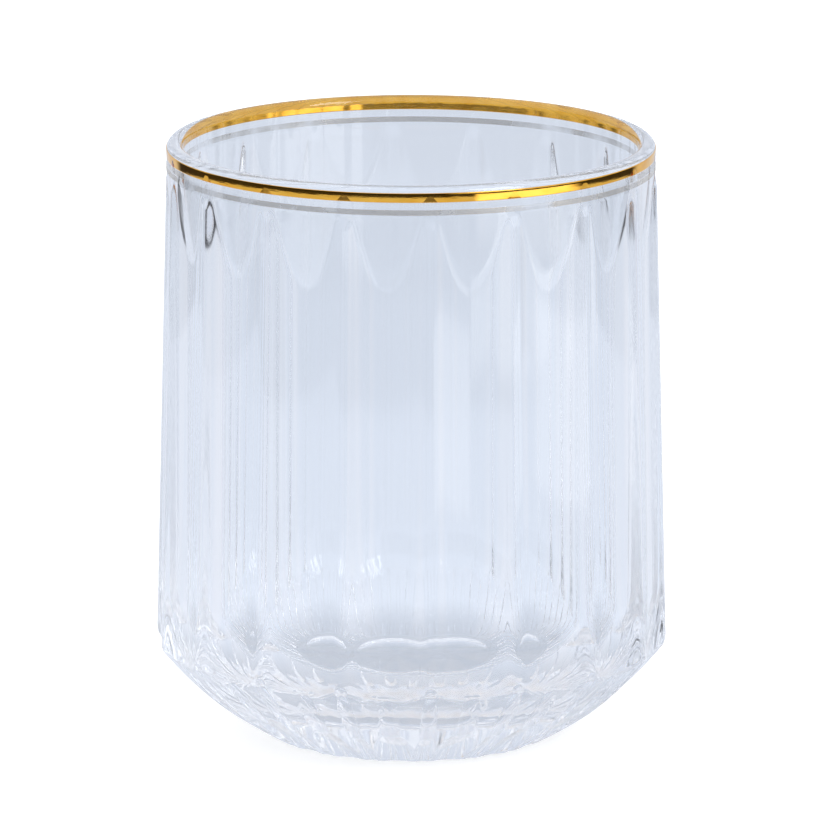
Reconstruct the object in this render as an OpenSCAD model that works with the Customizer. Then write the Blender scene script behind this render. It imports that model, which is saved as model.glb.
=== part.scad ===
// Faceted lowball tumbler of clear pressed glass with a fired gold rim band.
// The foot stands on the plane z = 0 and the axis of the glass is the Z axis.

/* [Glass] */
// Height from the table to the top of the lip
height = 99; // [80:1:140]
// Outside diameter of the round collar under the lip
rim_d = 80; // [72:1:90]
// Thickness of the wall at the lip
lip_w = 2.7; // [2:0.1:4]
// Diameter over the lands at the heel, where the bevel starts
heel_d = 84.4; // [80:0.2:96]
// Height of the heel above the table
heel_h = 15.5; // [12:0.5:20]
// Thickness of the wall just above the heel
heel_w = 5.6; // [4.5:0.1:8]
// Diameter of the foot
foot_d = 46.8; // [40:0.2:56]
// How far the bevel bulges out from the straight line between heel and foot
bevel_bow = 1.4; // [0.8:0.1:2]
// Height of the inside floor above the table
floor_h = 11; // [9:0.5:16]
// Radius of the corner between the inside floor and the wall
floor_r = 14; // [6:0.5:20]

/* [Panels] */
// Number of hollow panels round the wall
panels = 18; // [12, 14, 16, 18, 20]
// Radius of the hollow of each panel
hollow_r = 20; // [17:0.5:26]
// Depth of each hollow below the narrow lands between the panels
hollow_depth = 1.55; // [1.2:0.05:1.6]
// Height of the round collar above the panels
collar_h = 5; // [4:0.5:10]
// How far the lands would stand out from the collar if they ran up to the lip
arris_rise = 0.2; // [0:0.05:0.5]
// Height of the soft slope that ends each land under the collar
slope_h = 2.2; // [1:0.1:4]
// How far the round core under the collar draws in below the hollows
core_draw = 0.35; // [0.2:0.05:1]
// Height over which the round core draws in
core_h = 15; // [8:0.5:22]

/* [Heel dimples] */
// Diameter of the round dimple at the lower end of each land
dimple_d = 3; // [2:0.2:4]
// Depth of the dimple
dimple_depth = 0.6; // [0.3:0.1:1]

/* [Bevel flutes] */
// Distance down from the heel to the top of the flutes
flute_gap = 1.8; // [1:0.1:3]
// Height of the flutes' lower ends above the table
flute_end_h = 6.6; // [5:0.1:8]
// Radius of the flute on each arris
arris_flute_r = 2; // [1.5:0.1:3]
// Depth of the flute on each arris
arris_flute_depth = 0.45; // [0.2:0.05:0.7]
// Radius of the flute in the middle of each bevel facet
mid_flute_r = 3; // [2:0.1:5]
// Depth of the flute in the middle of each bevel facet
mid_flute_depth = 0.25; // [0.1:0.05:0.5]

/* [Foot] */
// Height of the petals' round tops above the table
petal_h = 7.2; // [6:0.1:9]
// Radius of the wide petal under each bevel facet
petal_r = 9; // [7:0.5:12]
// Depth of the wide petals near the foot
petal_depth = 0.5; // [0.3:0.05:0.8]
// Radius of the narrow petal under each arris
leaf_r = 3; // [2:0.1:4]
// Depth of the narrow petals near the foot
leaf_depth = 0.5; // [0.3:0.05:0.8]
// Diameter of the hollow under the foot
punt_d = 36; // [28:0.5:38]
// Depth of the hollow under the foot
punt_h = 1.6; // [1:0.1:3]

/* [Gilding] */
// Distance from the top of the lip to the gold band
band_gap = 1; // [0.8:0.1:1.2]
// Width of the gold band
band_w = 1.55; // [1:0.05:1.8]
// Distance from the top of the lip to the fine gilt line
line_gap = 3.75; // [3.2:0.05:3.8]
// Width of the fine gilt line
line_w = 0.9; // [0.5:0.05:0.9]
// Thickness of the fired gilding
film = 0.06; // [0.04:0.01:0.1]

/* [Hidden] */
// Overrun of every cut past the surface it leaves
over = 2;
$fn = 180;

rim_r = rim_d / 2;
heel_r = heel_d / 2;
foot_r = foot_d / 2;
lip_r = lip_w / 2;
lip_base = height - lip_r;
pitch = 360 / panels;
// Straight steps that make up the arc of a bevel facet
bevel_steps = 5;
// Share of the arris radius at which the middle of a bevel facet lies
flat_share = cos(pitch / 2);
collar_base = height - collar_h;
core_base = collar_base - core_h;

// Radius of the lands at a height on the wall
function arris_r(z) = heel_r + (rim_r + arris_rise - heel_r) * (z - heel_h) / (height - heel_h);

// Circle through two outline points, p above q, that bulges outward by a bow: [x, z, radius]
function bow_circle(p, q, bow) =
    let (chord = norm(p - q), r = (chord * chord / 4 + bow * bow) / (2 * bow))
    let (u = (q - p) / chord, c = (p + q) / 2 + [u[1], -u[0]] * (r - bow))
    [c[0], c[1], r];

// The bevel's arc over the arrises
BEVEL = bow_circle([heel_r, heel_h], [foot_r, 0], bevel_bow);

// Radius of the bevel's arris at a height
function bevel_r(z) = BEVEL[0] + sqrt(BEVEL[2] * BEVEL[2] - (z - BEVEL[1]) * (z - BEVEL[1]));

// Points down the bevel from the heel to the foot, drawn in to a share of the arris radius
function bevel_points(share) = [
    for (i = [0 : bevel_steps])
        let (z = heel_h * (1 - i / bevel_steps))
        [bevel_r(z) * share, z]
];

// Cutter for one bevel facet, which starts a little above the heel
module bevel_cut() {
    points = bevel_points(flat_share);
    top = points[0] + (points[0] - points[1]) / norm(points[0] - points[1]) * 2 * over;
    width = 2 * heel_r * sin(pitch / 2);
    rotate([90, 0, 0])
        linear_extrude(height = width + 2 * over, center = true)
            polygon(concat(
                [[top[0], -over], top],
                points,
                [[foot_r * flat_share - over, -over]]
            ));
}

// One hollow panel, which runs out over the heel and on to the bevel
module hollow() {
    low = [arris_r(heel_h) - hollow_depth, heel_h];
    high = [arris_r(collar_base) - hollow_depth, collar_base];
    scoop(low, high, hollow_r);
}

// Hollow panels and bevel facets from the foot up to the collar
module panelled_wall() {
    slope_base = collar_base - slope_h;
    difference() {
        rotate_extrude()
            polygon([
                [0, 0],
                [arris_r(0), 0],
                [arris_r(slope_base), slope_base],
                [rim_r, collar_base],
                [0, collar_base],
            ]);
        around(0.5) bevel_cut();
        around(0.5) hollow();
    }
}

// Round collar with a core that draws in behind the panels
module collar() {
    core_r = arris_r(core_base) - hollow_depth - core_draw;
    rotate_extrude()
        polygon([
            [0, core_base],
            [core_r, core_base],
            [rim_r, collar_base],
            [rim_r, lip_base],
            [0, lip_base],
        ]);
}

// Half-round lip on top of the collar
module lip() {
    rotate_extrude()
        intersection() {
            translate([rim_r - lip_r, lip_base]) circle(r = lip_r);
            translate([rim_r - lip_w, lip_base]) square([lip_w, lip_w]);
        }
}

// The drinking space, with a rounded corner at its floor
module cavity() {
    low_r = heel_r - heel_w;
    top_r = rim_r - lip_w;
    rotate_extrude() {
        difference() {
            union() {
                translate([0, floor_h]) square([low_r - floor_r, floor_r]);
                translate([low_r - floor_r, floor_h + floor_r]) circle(r = floor_r);
                polygon([
                    [0, floor_h + floor_r],
                    [low_r, floor_h + floor_r],
                    [top_r, lip_base],
                    [0, lip_base],
                ]);
            }
            translate([-heel_r, 0]) square([heel_r, height]);
        }
    }
}

// Round cutter whose deepest line runs from a low point to a high point in the XZ plane
module scoop(low, high, r) {
    run = high - low;
    translate([low[0], 0, low[1]])
        rotate([0, atan2(run[0], run[1]), 0])
            translate([r, 0, -over])
                cylinder(r = r, h = norm(run) + 2 * over);
}

// Copies at every arris, turned on by a share of the pitch
module around(turn_share = 0) {
    for (i = [0 : panels - 1])
        rotate([0, 0, (i + turn_share) * pitch])
            children();
}

module heel_dimple() {
    r = dimple_d / 2;
    translate([heel_r + r - dimple_depth, 0, heel_h]) sphere(r = r);
}

// A flute down the bevel at a share of the arris radius
module bevel_flute(share, r, depth) {
    top = heel_h - flute_gap;
    low = [bevel_r(flute_end_h) * share, flute_end_h];
    high = [bevel_r(top) * share, top];
    sunk = [-depth, depth] / sqrt(2);
    scoop(low + sunk, high + sunk, r);
}

// A petal from the foot up to its round top, at a share of the arris radius
module petal(share, r, depth) {
    scoop([foot_r * share - depth, 0], [bevel_r(petal_h) * share, petal_h], r);
}

module punt() {
    r = (punt_d * punt_d / 4 + punt_h * punt_h) / (2 * punt_h);
    translate([0, 0, punt_h - r]) sphere(r = r, $fn = 360);
}

module glass_body() {
    color([0.93, 0.96, 0.99, 0.35])
        difference() {
            union() {
                panelled_wall();
                collar();
                lip();
            }
            cavity();
            punt();
            around() heel_dimple();
            around() bevel_flute(1, arris_flute_r, arris_flute_depth);
            around(0.5) bevel_flute(flat_share, mid_flute_r, mid_flute_depth);
            around(0.5) petal(flat_share, petal_r, petal_depth);
            around() petal(1, leaf_r, leaf_depth);
        }
}

// Outside of the collar and lip in half section, grown by a thickness
module collar_outline(grow) {
    translate([0, collar_base]) square([rim_r + grow, collar_h - lip_r]);
    translate([rim_r - lip_r, lip_base]) circle(r = lip_r + grow);
}

// Film of gilding on the outside of the collar
module gilding(gap, width) {
    rotate_extrude()
        intersection() {
            difference() {
                collar_outline(film);
                collar_outline(0);
            }
            translate([rim_r - lip_r, height - gap - width]) square([lip_w, width]);
        }
}

module gold_rim_band() {
    color([0.83, 0.62, 0.22]) gilding(band_gap, band_w);
}

module gilt_hairline() {
    color([0.72, 0.66, 0.52]) gilding(line_gap, line_w);
}

glass_body();
gold_rim_band();
gilt_hairline();
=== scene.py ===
"""Clear faceted tumbler with a fired gold band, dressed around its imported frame."""
import math

import bpy
import numpy as np
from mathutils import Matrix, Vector


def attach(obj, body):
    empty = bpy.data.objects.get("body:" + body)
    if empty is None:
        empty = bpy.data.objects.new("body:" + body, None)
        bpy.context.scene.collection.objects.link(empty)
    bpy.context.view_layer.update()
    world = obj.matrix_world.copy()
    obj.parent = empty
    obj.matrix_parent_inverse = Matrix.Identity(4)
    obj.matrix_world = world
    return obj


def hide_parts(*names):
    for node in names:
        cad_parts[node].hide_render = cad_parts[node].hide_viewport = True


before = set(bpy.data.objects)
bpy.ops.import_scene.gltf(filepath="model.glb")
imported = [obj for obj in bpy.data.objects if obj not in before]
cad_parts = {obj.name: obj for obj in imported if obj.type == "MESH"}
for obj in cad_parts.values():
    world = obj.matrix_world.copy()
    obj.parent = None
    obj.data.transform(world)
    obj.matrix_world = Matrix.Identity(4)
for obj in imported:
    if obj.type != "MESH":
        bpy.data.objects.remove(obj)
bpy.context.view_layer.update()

MM = 0.001
# Radius, far outside the glass, where a cutter misses it
NO_CUT = 1.0
# Rounding that fire polishing leaves on the large pressed edges and on the small ones
SOFT = 0.42 * MM
FINE = 0.06 * MM

# Glass, in metres, as the construction has it
HEIGHT = 99 * MM
RIM_R = 40 * MM
LIP_W = 2.7 * MM
LIP_R = LIP_W / 2
LIP_BASE = HEIGHT - LIP_R
HEEL_R = 42.2 * MM
HEEL_H = 15.5 * MM
HEEL_W = 5.6 * MM
FOOT_R = 23.4 * MM
BEVEL_BOW = 1.4 * MM
FLOOR_H = 11 * MM
FLOOR_R = 14 * MM

# Panels, lands and collar
PANELS = 18
PITCH = 2 * math.pi / PANELS
FLAT_SHARE = math.cos(PITCH / 2)
COLLAR_BASE = HEIGHT - 5 * MM
ARRIS_TOP_R = 40.2 * MM
HOLLOW_R = 20 * MM
HOLLOW_DEPTH = 1.55 * MM
SLOPE_H = 2.2 * MM
SLOPE_BASE = COLLAR_BASE - SLOPE_H
CORE_DRAW = 0.35 * MM
CORE_BASE = COLLAR_BASE - 15 * MM

# Heel dimples
DIMPLE_R = 1.5 * MM
DIMPLE_DEPTH = 0.6 * MM

# Bevel flutes and foot petals, each with its radius and its depth
FLUTE_TOP = HEEL_H - 1.8 * MM
FLUTE_END = 6.6 * MM
ARRIS_FLUTE = (2 * MM, 0.45 * MM)
MID_FLUTE = (3 * MM, 0.25 * MM)
PETAL_H = 7.2 * MM
PETAL = (9 * MM, 0.5 * MM)
LEAF = (3 * MM, 0.5 * MM)

# Hollow under the foot
PUNT_R = 18 * MM
PUNT_H = 1.6 * MM

# Gilding
BAND_TOP = HEIGHT - 1 * MM
BAND_W = 1.55 * MM
LINE_TOP = HEIGHT - 3.75 * MM
LINE_W = 0.9 * MM
FILM = 0.06 * MM
FILM_BITE = 0.01 * MM
BAND_DOME = 0.055 * MM

# Points across half a land and half a panel, and how the second crowd towards the land
LAND_POINTS = 5
PANEL_POINTS = 27
EVEN_SHARE = 0.25
CROWD_POWER = 1.8

# Rings of the drinking space, from next to the axis to the lip
CAVITY_FLAT = (0.03, 0.2, 0.4, 0.6, 0.8, 0.92)
CORNER_RINGS = 24
CAVITY_RINGS = 24
LIP_RINGS = 17

# Rings of the outside and of the underside, where the last one lies next to the axis
HEEL_EDGE = HEEL_H + 2 * MM
BEVEL_RINGS = 76
FOOT_RINGS = (3.2 * MM, 1.6 * MM, 0.4 * MM, 0)
PUNT_RINGS = 20
PUNT_END = 0.02

# Points along and round a film of gilding
FILM_RINGS = 16
FILM_POINTS = 720

# Heights over which the haze of handling comes in above the heel and goes under the collar
HAZE_EDGES = ((18 * MM, 34 * MM), (COLLAR_BASE, COLLAR_BASE - 4 * MM))

# Colours that the glass and the gilding show of the studio
STUDIO = (0.7, 0.75, 0.865)
DEEP = (0.69, 0.745, 0.845)
PALE = (0.755, 0.79, 0.87)
# Dark of the room in reflections, also painted as shade on parts of the floor
DARK = (0.015, 0.012, 0.01)
# Painted highlight: a floor patch that glows brighter than white, seen only in reflections
HIGHLIGHT_GLOW = (1.8, 1.8, 1.8)
WHITE = (0.9, 0.93, 1.0)

# Soft edges of the ceiling, dark room and window as directions, each from nothing to all
CEILING_Z = (0.6, 0.8)
ROOM_X = (0.5, 0.35)
ROOM_Y = (0.35, 0.1)
ROOM_Z = (0.5, 0.42)
WINDOW_X = (0.5, 0.6)
WINDOW_Z = ((-0.1, 0.0), (0.55, 0.45))

# The floor: its matt colour, and the glow that makes it white to the camera
STAGE_HALF = 3.0
STAGE_Z = -0.05 * MM
STAGE_MATT = (0.8, 0.8, 0.8)
STAGE_LIFT = 0.6

# What glass and gilding show of the floor: a dark matt under a glow, whose strength
# follows the distance from the foot, as a painted shadow next to the foot and a painted fall of light
# farther out
STAGE_UNDER = (0.03, 0.03, 0.033)
STAGE_GLOW_AND_SHADOW = ((0.02, 0.74), (0.06, 1.12), (0.14, 1.05), (0.45, 0.99))

# Pale streaks on the floor: their noise, and where they come in on both sides of +Y, in radians
STREAK_SCALE = 2.3
STREAK_DETAIL = 1.5
STREAK_NOISE = (0.36, 0.6)
STREAK_TURN = (0.15, 0.5)

# Painted shade where a dark room would be, and a painted highlight from a patch that glows brighter than
# white, both on the floor and seen only in reflections:
# turns from +Y in radians, distances in metres, and how dark the painted shade of the ring in front is
SIDE_TURN = (0.75, 0.9)
SIDE_REACH = (0.39, 0.41)
FRONT_TURN = (1.9, 2.1)
FRONT_REACH = ((0.24, 0.27), (0.37, 0.36))
FRONT_SHARE = 0.8
HIGHLIGHT_TURN = ((1.55, 1.75), (2.56, 2.5))
HIGHLIGHT_REACH = ((0.27, 0.29), (0.5, 0.48))

# Camera, fitted to the photograph
PHOTO_PX = 828
FOCAL_PX = 10682
SHIFT_PX = 3
SENSOR_MM = 36
CAMERA_AIM = Vector((0, 0, 53 * MM))
CAMERA_DISTANCE = 1.756
CAMERA_ELEVATION = math.radians(12.54)
CAMERA_AZIMUTH = math.radians(-84.4)

# Bounces that light needs to get through all the walls of the glass
BOUNCES = 32

# Places of a mix node's colour sockets, whose names repeat
MIX_UNDER = 6
MIX_OVER = 7
MIX_COLOR = 2


def arris_r(z):
    """Radius of the lands on the wall."""
    return HEEL_R + (ARRIS_TOP_R - HEEL_R) * (z - HEEL_H) / (HEIGHT - HEEL_H)


def bow_circle(p, q, bow):
    """Centre and radius of the arc that bulges outward between two outline points."""
    p, q = np.array(p), np.array(q)
    chord = np.linalg.norm(p - q)
    r = (chord * chord / 4 + bow * bow) / (2 * bow)
    u = (q - p) / chord
    c = (p + q) / 2 + np.array([u[1], -u[0]]) * (r - bow)
    return c[0], c[1], r


BEVEL_X, BEVEL_Z, BEVEL_R = bow_circle((HEEL_R, HEEL_H), (FOOT_R, 0), BEVEL_BOW)


def bevel_r(z):
    """Radius of the arrises on the bevel."""
    return BEVEL_X + np.sqrt(BEVEL_R**2 - (z - BEVEL_Z) ** 2)


def least(a, b, soft):
    """The smaller of two radii, with the edge where they cross rounded off."""
    h = np.clip(1 - np.abs(a - b) / soft, 0, 1)
    return np.minimum(a, b) - h * h * soft / 4


def scoop_r(angle, z, low, high, r):
    """Where a level ray out from the axis first meets a tilted round cutter.

    The cutter's deepest line runs from low to high, each a radius and a height, at angle zero.
    """
    run = np.array(high) - np.array(low)
    ux, uz = run / np.linalg.norm(run)
    ax, az = low[0] + r * uz, low[1] - r * ux
    cos_a = np.cos(angle)
    wz = z - az
    along_e = cos_a * ux
    along_w = -ax * ux + wz * uz
    a = 1 - along_e**2
    b = -cos_a * ax - along_e * along_w
    c = ax * ax + wz * wz - along_w**2 - r * r
    disc = b * b - a * c
    near = (-b - np.sqrt(np.maximum(disc, 0))) / a
    return np.where(disc > 0, near, NO_CUT)


def ball_r(angle, z, x, z0, r):
    """Where a level ray out from the axis first meets a ball."""
    b = x * np.cos(angle)
    disc = b * b - (x * x + (z - z0) ** 2 - r * r)
    return np.where(disc > 0, b - np.sqrt(np.maximum(disc, 0)), NO_CUT)


def wall_r(centre, z):
    """Lands and hollow panels up to the collar, with the round core that fills the panels' tops."""
    land = arris_r(np.minimum(z, SLOPE_BASE))
    land = land + (RIM_R - land) * np.clip((z - SLOPE_BASE) / SLOPE_H, 0, 1)
    low = (arris_r(HEEL_H) - HOLLOW_DEPTH, HEEL_H)
    high = (arris_r(COLLAR_BASE) - HOLLOW_DEPTH, COLLAR_BASE)
    wall = least(land, scoop_r(centre, z, low, high, HOLLOW_R), SOFT)
    core_r = arris_r(CORE_BASE) - HOLLOW_DEPTH - CORE_DRAW
    core = core_r + (RIM_R - core_r) * np.clip((z - CORE_BASE) / (COLLAR_BASE - CORE_BASE), 0, 1)
    return np.where(z > CORE_BASE, -least(-wall, -core, SOFT / 2), wall)


def facet_r(centre, z):
    """Bevel facets, which run straight on above the heel."""
    slope = (BEVEL_Z - HEEL_H) / (HEEL_R - BEVEL_X)
    arris = bevel_r(np.minimum(z, HEEL_H)) + slope * np.maximum(z - HEEL_H, 0)
    return arris * FLAT_SHARE / np.cos(centre)


def outer_r(angle, z):
    """Outside radius of the glass at an angle from the nearest arris and a height."""
    centre = PITCH / 2 - np.abs(angle)
    r = least(wall_r(centre, z), facet_r(centre, z), SOFT)
    r = least(r, ball_r(angle, z, HEEL_R + DIMPLE_R - DIMPLE_DEPTH, HEEL_H, DIMPLE_R), FINE)
    for turn, share, (radius, depth) in ((angle, 1, ARRIS_FLUTE), (centre, FLAT_SHARE, MID_FLUTE)):
        sunk = depth / math.sqrt(2)
        low = (bevel_r(FLUTE_END) * share - sunk, FLUTE_END + sunk)
        high = (bevel_r(FLUTE_TOP) * share - sunk, FLUTE_TOP + sunk)
        r = least(r, scoop_r(turn, z, low, high, radius), FINE)
    for turn, share, (radius, depth) in ((centre, FLAT_SHARE, PETAL), (angle, 1, LEAF)):
        low = (FOOT_R * share - depth, 0)
        high = (bevel_r(PETAL_H) * share, PETAL_H)
        r = least(r, scoop_r(turn, z, low, high, radius), FINE)
    return r


def land_share(z):
    """Half width of a land at a height, as a share of half the pitch."""
    rho = arris_r(np.clip(z, HEEL_H, SLOPE_BASE))
    far = rho - HOLLOW_DEPTH + HOLLOW_R
    x = (far**2 + rho**2 - HOLLOW_R**2) / (2 * far)
    return 1 - np.arccos(x / rho) / (PITCH / 2)


def ring_angles(z):
    """Angles round the glass at a height, closer together at the edges of the lands."""
    edge = land_share(z)
    on_land = np.linspace(0, 1, LAND_POINTS, endpoint=False) * edge
    turn = np.linspace(0, 1, PANEL_POINTS)
    beside = edge + (1 - edge) * (EVEN_SHARE * turn + (1 - EVEN_SHARE) * turn**CROWD_POWER)
    side = np.concatenate([on_land, beside]) * PITCH / 2
    one = np.concatenate([side, PITCH - side[-2:0:-1]])
    return (one[None, :] + np.arange(PANELS)[:, None] * PITCH).ravel()


def from_arris(angles):
    """Signed angle from the nearest arris."""
    return (angles + PITCH / 2) % PITCH - PITCH / 2


def outer_heights():
    """Heights of the outside rings, from the collar's top down to the foot."""
    # Top, bottom and number of rings of each stretch of the wall
    spans = (
        (LIP_BASE, COLLAR_BASE, 8),
        (COLLAR_BASE, SLOPE_BASE, 8),
        (SLOPE_BASE, CORE_BASE, 40),
        (CORE_BASE, HEEL_EDGE, 40),
        (HEEL_EDGE, HEEL_H, 16),
    )
    wall = [np.linspace(top, bottom, rings, endpoint=False) for top, bottom, rings in spans]
    turn = np.linspace(0, 1, BEVEL_RINGS)
    arc_top = math.asin((HEEL_H - BEVEL_Z) / BEVEL_R)
    arc_low = math.asin(-BEVEL_Z / BEVEL_R)
    bevel = BEVEL_Z + BEVEL_R * np.sin(arc_top + (arc_low - arc_top) * turn)
    bevel[-1] = 0
    return np.concatenate(wall + [bevel])


def revolved(points, angles):
    """Rings of points turned about the axis."""
    r = np.array([p[0] for p in points])[:, None]
    z = np.array([p[1] for p in points])[:, None]
    x = r * np.cos(angles)
    y = r * np.sin(angles)
    return np.stack([x, y, np.broadcast_to(z, x.shape)], axis=-1)


def lip_points():
    """Half-round lip, from the inside wall over to the outside."""
    turn = np.linspace(math.pi, 0, LIP_RINGS)[:-1]
    return [(RIM_R - LIP_R + LIP_R * math.cos(t), LIP_BASE + LIP_R * math.sin(t)) for t in turn]


def cavity_points():
    """Drinking space, from next to the axis out to the lip's inside edge."""
    low_r = HEEL_R - HEEL_W
    top_r = RIM_R - LIP_W
    flat = low_r - FLOOR_R
    base = FLOOR_H + FLOOR_R
    points = [(flat * s, FLOOR_H) for s in CAVITY_FLAT]
    for t in np.linspace(-math.pi / 2, 0, CORNER_RINGS):
        points.append((flat + FLOOR_R * math.cos(t), base + FLOOR_R * math.sin(t)))
    for s in np.linspace(0, 1, CAVITY_RINGS)[1:-1]:
        points.append((low_r + (top_r - low_r) * s, base + (LIP_BASE - base) * s))
    return points


def underside_points():
    """Foot ring and the shallow hollow under it, from the ring to next to the axis."""
    r = (PUNT_R**2 + PUNT_H**2) / (2 * PUNT_H)
    points = [(PUNT_R + beyond, 0.0) for beyond in FOOT_RINGS]
    for s in np.linspace(1, 0, PUNT_RINGS)[1:-1]:
        x = PUNT_R * s
        points.append((x, PUNT_H - r + math.sqrt(r * r - x * x)))
    points.append((PUNT_R * PUNT_END, PUNT_H))
    return points


def grid_mesh(name, rings, caps=(), closed=False):
    """Mesh of quads between rings of points; caps are rings that a fan closes."""
    count, around = rings.shape[:2]
    last = count if closed else count - 1
    i = np.arange(last)[:, None]
    j = np.arange(around)[None, :]
    nxt = (j + 1) % around
    low, high = i * around, ((i + 1) % count) * around
    quads = np.stack([low + j, high + j, high + nxt, low + nxt], axis=-1)
    faces = quads.reshape(-1, 4).tolist()
    points = rings.reshape(-1, 3).tolist()
    for ring, z, flip in caps:
        centre = len(points)
        points.append([0.0, 0.0, z])
        for k in range(around):
            pair = [ring * around + k, ring * around + (k + 1) % around]
            faces.append([centre] + (pair[::-1] if flip else pair))
    mesh = bpy.data.meshes.new(name)
    mesh.from_pydata(points, [], faces)
    mesh.validate()
    mesh.shade_smooth()
    obj = bpy.data.objects.new(name, mesh)
    bpy.context.scene.collection.objects.link(obj)
    return obj


def glass_mesh():
    """The whole pressing: cavity, lip, collar, panels, bevel, foot and underside."""
    inside = revolved(cavity_points() + lip_points(), ring_angles(LIP_BASE))
    heights = outer_heights()
    angles = np.array([ring_angles(z) for z in heights])
    z = np.broadcast_to(heights[:, None], angles.shape)
    r = outer_r(from_arris(angles), z)
    outside = np.stack([r * np.cos(angles), r * np.sin(angles), z], axis=-1)
    under = revolved(underside_points(), ring_angles(0))
    rings = np.concatenate([inside, outside, under])
    last = len(rings) - 1
    return grid_mesh("pressed_glass", rings, caps=((0, FLOOR_H, False), (last, PUNT_H, True)))


def film_outline(top, width, grow, dome=0):
    """Outside of the collar and lip between two heights, grown, and domed towards the top."""
    points = []
    for share in np.linspace(0, 1, FILM_RINGS):
        z = top - width * share
        radius = LIP_R + grow + dome * (1 - share**2)
        rise = max(z - LIP_BASE, 0)
        points.append((RIM_R - LIP_R + math.sqrt(radius**2 - rise**2), z))
    return points


def film_mesh(name, top, width, dome):
    """A closed ring of gilding round the collar."""
    angles = np.linspace(0, 2 * math.pi, FILM_POINTS, endpoint=False)
    outer = film_outline(top, width, FILM - dome, dome)
    inner = film_outline(top, width, -FILM_BITE)[::-1]
    return grid_mesh(name, revolved(outer + inner, angles), closed=True)


def give(tree, source, socket):
    """Gives a socket a link, a plain colour or a plain number."""
    if isinstance(source, bpy.types.NodeSocket):
        tree.links.new(source, socket)
    elif isinstance(source, tuple):
        socket.default_value = (*source, 1)
    else:
        socket.default_value = source


def maths(tree, operation, *sources):
    """Result of one operation on sockets and plain numbers."""
    node = tree.nodes.new("ShaderNodeMath")
    node.operation = operation
    for source, socket in zip(sources, node.inputs):
        give(tree, source, socket)
    return node.outputs["Value"]


def product(tree, *factors):
    """All factors multiplied together."""
    value = factors[0]
    for factor in factors[1:]:
        value = maths(tree, "MULTIPLY", value, factor)
    return value


def split(tree, space):
    """The three coordinates of the surface in one of Blender's spaces."""
    coords = tree.nodes.new("ShaderNodeTexCoord")
    parts = tree.nodes.new("ShaderNodeSeparateXYZ")
    tree.links.new(coords.outputs[space], parts.inputs["Vector"])
    return parts.outputs


def stretched_noise(tree, scale, stretch, detail=3.0):
    """Noise in object space that is drawn out or pressed together along the axis of the glass."""
    coords = tree.nodes.new("ShaderNodeTexCoord")
    mapping = tree.nodes.new("ShaderNodeMapping")
    mapping.inputs["Scale"].default_value = (1, 1, stretch)
    noise = tree.nodes.new("ShaderNodeTexNoise")
    noise.inputs["Scale"].default_value = scale
    noise.inputs["Detail"].default_value = detail
    tree.links.new(coords.outputs["Object"], mapping.inputs["Vector"])
    tree.links.new(mapping.outputs["Vector"], noise.inputs["Vector"])
    return noise.outputs["Fac"]


def ranged(tree, value, low, high):
    """A value from zero to one turned into a plain range."""
    node = tree.nodes.new("ShaderNodeMapRange")
    node.inputs["To Min"].default_value = low
    node.inputs["To Max"].default_value = high
    tree.links.new(value, node.inputs["Value"])
    return node.outputs["Result"]


def step(tree, value, low, high):
    """Soft step of a value, from nothing at one place to one at another."""
    node = tree.nodes.new("ShaderNodeMapRange")
    node.interpolation_type = "SMOOTHSTEP"
    node.inputs["From Min"].default_value = min(low, high)
    node.inputs["From Max"].default_value = max(low, high)
    node.inputs["To Min"].default_value = 0 if low < high else 1
    node.inputs["To Max"].default_value = 1 if low < high else 0
    tree.links.new(value, node.inputs["Value"])
    return node.outputs["Result"]


def within(tree, value, edges):
    """Soft steps of a value, one for each pair of edges."""
    return [step(tree, value, low, high) for low, high in edges]


def ramp(tree, value, stops):
    """Colour along a value; each stop is a place and a colour or a grey."""
    node = tree.nodes.new("ShaderNodeValToRGB")
    elements = node.color_ramp.elements
    for place, tone in stops:
        color = tone if isinstance(tone, tuple) else (tone, tone, tone)
        elements.new(place).color = (*color, 1)
    elements.remove(elements[0])
    elements.remove(elements[-1])
    tree.links.new(value, node.inputs["Fac"])
    return node.outputs["Color"]


def blend(tree, fac, under, over):
    """Colour that changes from one to another; each is a socket or a plain colour."""
    node = tree.nodes.new("ShaderNodeMix")
    node.data_type = "RGBA"
    tree.links.new(fac, node.inputs["Factor"])
    give(tree, under, node.inputs[MIX_UNDER])
    give(tree, over, node.inputs[MIX_OVER])
    return node.outputs[MIX_COLOR]


def bump(tree, height, strength, distance):
    """Normal that follows a height."""
    node = tree.nodes.new("ShaderNodeBump")
    node.inputs["Strength"].default_value = strength
    node.inputs["Distance"].default_value = distance
    tree.links.new(height, node.inputs["Height"])
    return node.outputs["Normal"]


def new_material(name):
    """Material with an empty node tree."""
    material = bpy.data.materials.new(name)
    material.use_nodes = True
    material.node_tree.nodes.clear()
    return material, material.node_tree


def new_finish(name):
    """Material with one principled shader, and that shader's inputs."""
    material, tree = new_material(name)
    out = tree.nodes.new("ShaderNodeOutputMaterial")
    shader = tree.nodes.new("ShaderNodeBsdfPrincipled")
    tree.links.new(shader.outputs["BSDF"], out.inputs["Surface"])
    return material, tree, shader.inputs


def glass_material():
    """Clear pressed glass: faint waves from the mould, and a touch of haze where it was handled."""
    material, tree, inputs = new_finish("clear_pressed_glass")
    inputs["Base Color"].default_value = (0.97, 0.98, 0.99, 1)
    inputs["Transmission Weight"].default_value = 1.0
    inputs["IOR"].default_value = 1.51
    haze = ranged(tree, stretched_noise(tree, scale=60, stretch=0.25), low=0.03, high=0.07)
    handled = product(tree, haze, *within(tree, split(tree, "Object")["Z"], HAZE_EDGES))
    tree.links.new(handled, inputs["Roughness"])
    waves = stretched_noise(tree, scale=260, stretch=0.05, detail=1.0)
    tree.links.new(bump(tree, waves, strength=0.06, distance=0.12 * MM), inputs["Normal"])
    return material


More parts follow.
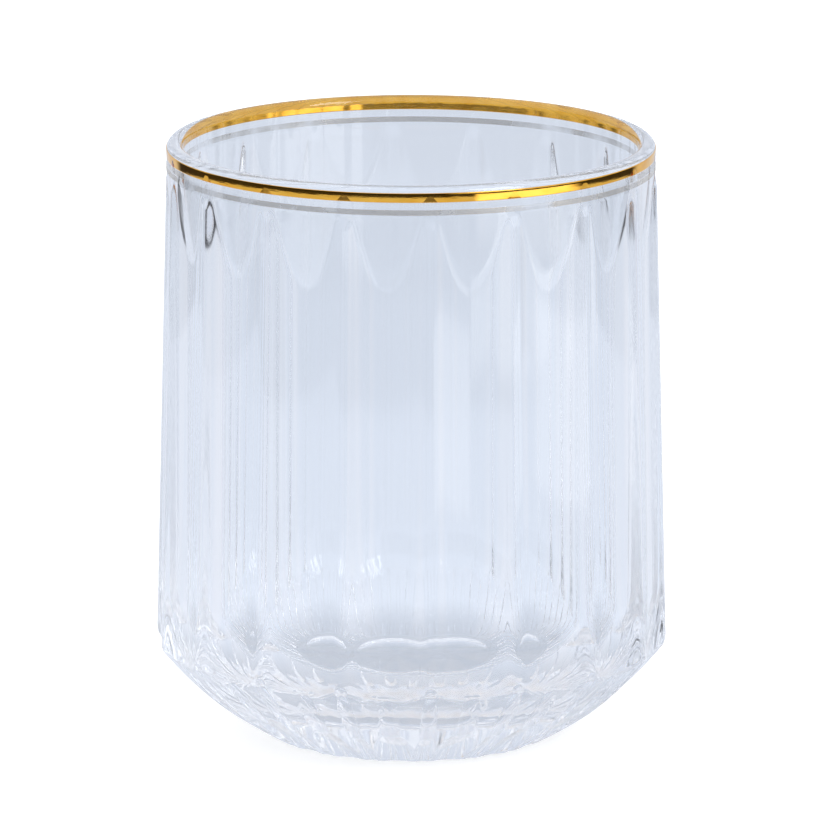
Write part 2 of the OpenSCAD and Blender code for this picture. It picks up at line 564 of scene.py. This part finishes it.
def gold_material():
    """Bright fired gold, with brush lines round the rim and softer worn patches."""
    material, tree, inputs = new_finish("fired_gold")
    inputs["Metallic"].default_value = 1.0
    wear = stretched_noise(tree, scale=260, stretch=4.0)
    tint = ramp(tree, wear, ((0.3, (0.86, 0.42, 0.045)), (0.62, (0.95, 0.52, 0.08))))
    tree.links.new(tint, inputs["Base Color"])
    tree.links.new(ranged(tree, wear, low=0.03, high=0.08), inputs["Roughness"])
    brush = stretched_noise(tree, scale=500, stretch=8.0, detail=2.0)
    tree.links.new(bump(tree, brush, strength=0.15, distance=0.02 * MM), inputs["Normal"])
    return material


def worn_gilt_material():
    """A thin gilt line that is worn through in places, so that the glass shows."""
    material, tree, inputs = new_finish("worn_gilt")
    inputs["Base Color"].default_value = (0.8, 0.72, 0.6, 1)
    inputs["Metallic"].default_value = 1.0
    wear = stretched_noise(tree, scale=180, stretch=5.0)
    tree.links.new(ranged(tree, wear, low=0.25, high=0.5), inputs["Roughness"])
    cover = stretched_noise(tree, scale=90, stretch=1.0, detail=4.0)
    tree.links.new(ramp(tree, cover, ((0.36, 0.06), (0.5, 0.36))), inputs["Alpha"])
    return material


def background(tree, color):
    """Background shader of the world."""
    node = tree.nodes.new("ShaderNodeBackground")
    give(tree, color, node.inputs["Color"])
    return node.outputs["Background"]


def matt(tree, color):
    """Diffuse shader."""
    node = tree.nodes.new("ShaderNodeBsdfDiffuse")
    give(tree, color, node.inputs["Color"])
    return node.outputs["BSDF"]


def glow(tree, color, strength):
    """Emission shader."""
    node = tree.nodes.new("ShaderNodeEmission")
    give(tree, color, node.inputs["Color"])
    give(tree, strength, node.inputs["Strength"])
    return node.outputs["Emission"]


def added(tree, first, second):
    """Two shaders on top of each other."""
    node = tree.nodes.new("ShaderNodeAddShader")
    tree.links.new(first, node.inputs[0])
    tree.links.new(second, node.inputs[1])
    return node.outputs["Shader"]


def mixed(tree, fac, first, second):
    """One shader where the factor is zero, and another where it is one."""
    node = tree.nodes.new("ShaderNodeMixShader")
    tree.links.new(fac, node.inputs["Fac"])
    tree.links.new(first, node.inputs[1])
    tree.links.new(second, node.inputs[2])
    return node.outputs["Shader"]


def by_ray(tree, plain, shown, camera_view):
    """One shader for lighting, one for what glass and metal show, and one for the camera."""
    path = tree.nodes.new("ShaderNodeLightPath").outputs
    bounce = maths(tree, "MAXIMUM", path["Is Glossy Ray"], path["Is Transmission Ray"])
    inner = mixed(tree, bounce, plain, shown)
    return mixed(tree, path["Is Camera Ray"], inner, camera_view)


def mirrored_paths(tree):
    """One on light paths with a reflection, and zero on the others.

    A refracted ray is a glossy ray too, so that only the glossy depth tells the two apart.
    """
    path = tree.nodes.new("ShaderNodeLightPath")
    return maths(tree, "MINIMUM", path.outputs["Glossy Depth"], 1)


def studio_world():
    """Pale cool studio with a white ceiling and a bright window to the right.

    Paths with a reflection also show a dark room in front.
    """
    world = bpy.data.worlds.new("studio")
    bpy.context.scene.world = world
    world.use_nodes = True
    tree = world.node_tree
    tree.nodes.clear()
    x, y, z = split(tree, "Generated")
    room = product(
        tree, mirrored_paths(tree),
        step(tree, y, *ROOM_Y), step(tree, x, *ROOM_X), step(tree, z, *ROOM_Z),
    )
    window = product(tree, step(tree, x, *WINDOW_X), *within(tree, z, WINDOW_Z))
    color = blend(tree, room, STUDIO, DARK)
    color = blend(tree, window, color, WHITE)
    color = blend(tree, step(tree, z, *CEILING_Z), color, WHITE)
    white = background(tree, (1, 1, 1))
    out = tree.nodes.new("ShaderNodeOutputWorld")
    tree.links.new(by_ray(tree, white, background(tree, color), white), out.inputs["Surface"])


def floor_color(tree, reach):
    """Pale cool tones with soft streaks, painted shade where a dark room would be, and a glowing patch
    as a painted highlight, both seen only in reflections.
    """
    x, y, _ = split(tree, "Object")
    turn = maths(tree, "ARCTAN2", x, y)
    aside = maths(tree, "ABSOLUTE", turn)
    noise = tree.nodes.new("ShaderNodeTexNoise")
    noise.noise_dimensions = "1D"
    noise.inputs["Scale"].default_value = STREAK_SCALE
    noise.inputs["Detail"].default_value = STREAK_DETAIL
    tree.links.new(turn, noise.inputs["W"])
    streak = product(
        tree, step(tree, noise.outputs["Fac"], *STREAK_NOISE), step(tree, aside, *STREAK_TURN),
    )
    mirrored = mirrored_paths(tree)
    through = tree.nodes.new("ShaderNodeLightPath").outputs["Is Transmission Ray"]
    # Painted shade: the floor far out at the sides is dark on paths with a reflection
    side = product(tree, step(tree, aside, *SIDE_TURN), mirrored, step(tree, reach, *SIDE_REACH))
    # Painted shade: a dark ring in front, seen through glass after a reflection, paints a dark stripe
    # into the back of the gold band
    front = product(
        tree, step(tree, aside, *FRONT_TURN), through, mirrored,
        *within(tree, reach, FRONT_REACH), FRONT_SHARE,
    )
    # Painted highlight: a patch that glows brighter than white after a reflection, for a bright spot on
    # the gold band
    highlight_patch = product(
        tree, mirrored, *within(tree, turn, HIGHLIGHT_TURN), *within(tree, reach, HIGHLIGHT_REACH),
    )
    color = blend(tree, streak, DEEP, PALE)
    color = blend(tree, maths(tree, "MAXIMUM", side, front), color, DARK)
    return blend(tree, highlight_patch, color, HIGHLIGHT_GLOW)


def floor_material():
    """White to the camera, plain to the light, and pale and cool to glass and metal."""
    material, tree = new_material("pale_floor")
    coords = tree.nodes.new("ShaderNodeTexCoord")
    away = tree.nodes.new("ShaderNodeVectorMath")
    away.operation = "LENGTH"
    tree.links.new(coords.outputs["Object"], away.inputs[0])
    reach = away.outputs["Value"]
    # Painted shadow and painted light: the glow is weaker next to the foot and falls off with distance
    pale = glow(tree, floor_color(tree, reach), ramp(tree, reach, STAGE_GLOW_AND_SHADOW))
    plain = matt(tree, STAGE_MATT)
    shown = added(tree, matt(tree, STAGE_UNDER), pale)
    camera_view = added(tree, plain, glow(tree, (1, 1, 1), STAGE_LIFT))
    out = tree.nodes.new("ShaderNodeOutputMaterial")
    tree.links.new(by_ray(tree, plain, shown, camera_view), out.inputs["Surface"])
    return material


def studio_floor():
    """Pale floor that the camera sees as white, and that keeps a soft shadow."""
    corners = [(-1, -1), (1, -1), (1, 1), (-1, 1)]
    mesh = bpy.data.meshes.new("floor")
    mesh.from_pydata([(x * STAGE_HALF, y * STAGE_HALF, STAGE_Z) for x, y in corners], [], [(0, 1, 2, 3)])
    mesh.materials.append(floor_material())
    floor = bpy.data.objects.new("floor", mesh)
    bpy.context.scene.collection.objects.link(floor)


def area_lamp(name, place, aim, size, power, color):
    """Rectangular lamp that points at a place."""
    data = bpy.data.lights.new(name, "AREA")
    data.shape = "RECTANGLE"
    data.size, data.size_y = size
    data.energy = power
    data.color = color
    lamp = bpy.data.objects.new(name, data)
    lamp.location = place
    lamp.rotation_euler = (Vector(aim) - Vector(place)).to_track_quat("-Z", "Y").to_euler()
    bpy.context.scene.collection.objects.link(lamp)


def camera():
    """The photograph's view: a long lens, a little above the rim."""
    level = math.cos(CAMERA_ELEVATION)
    out = Vector((
        level * math.cos(CAMERA_AZIMUTH),
        level * math.sin(CAMERA_AZIMUTH),
        math.sin(CAMERA_ELEVATION),
    ))
    data = bpy.data.cameras.new("camera")
    data.sensor_width = SENSOR_MM
    data.lens = FOCAL_PX * SENSOR_MM / PHOTO_PX
    data.shift_x = SHIFT_PX / PHOTO_PX
    obj = bpy.data.objects.new("camera", data)
    obj.location = CAMERA_AIM + out * CAMERA_DISTANCE
    obj.rotation_euler = (-out).to_track_quat("-Z", "Y").to_euler()
    bpy.context.scene.collection.objects.link(obj)
    bpy.context.scene.camera = obj


def dress(piece, material, node):
    """Gives a piece its finish and its place on the frame."""
    piece.data.materials.append(material)
    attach(piece, "root")
    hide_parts(node)


bpy.context.scene.view_settings.view_transform = "Standard"
bpy.context.scene.cycles.max_bounces = BOUNCES
bpy.context.scene.cycles.glossy_bounces = BOUNCES
bpy.context.scene.cycles.transmission_bounces = BOUNCES
camera()
studio_world()
studio_floor()
area_lamp(
    "window", place=(0.9, -0.7, 1.0), aim=(0, 0, 0.05),
    size=(0.5, 0.7), power=5, color=(0.97, 0.98, 1),
)

glass = glass_mesh()
band = film_mesh("gold_band", BAND_TOP, BAND_W, BAND_DOME)
line = film_mesh("gilt_line", LINE_TOP, LINE_W, dome=0)
dress(glass, glass_material(), "glass_body")
dress(band, gold_material(), "gold_rim_band")
dress(line, worn_gilt_material(), "gilt_hairline")
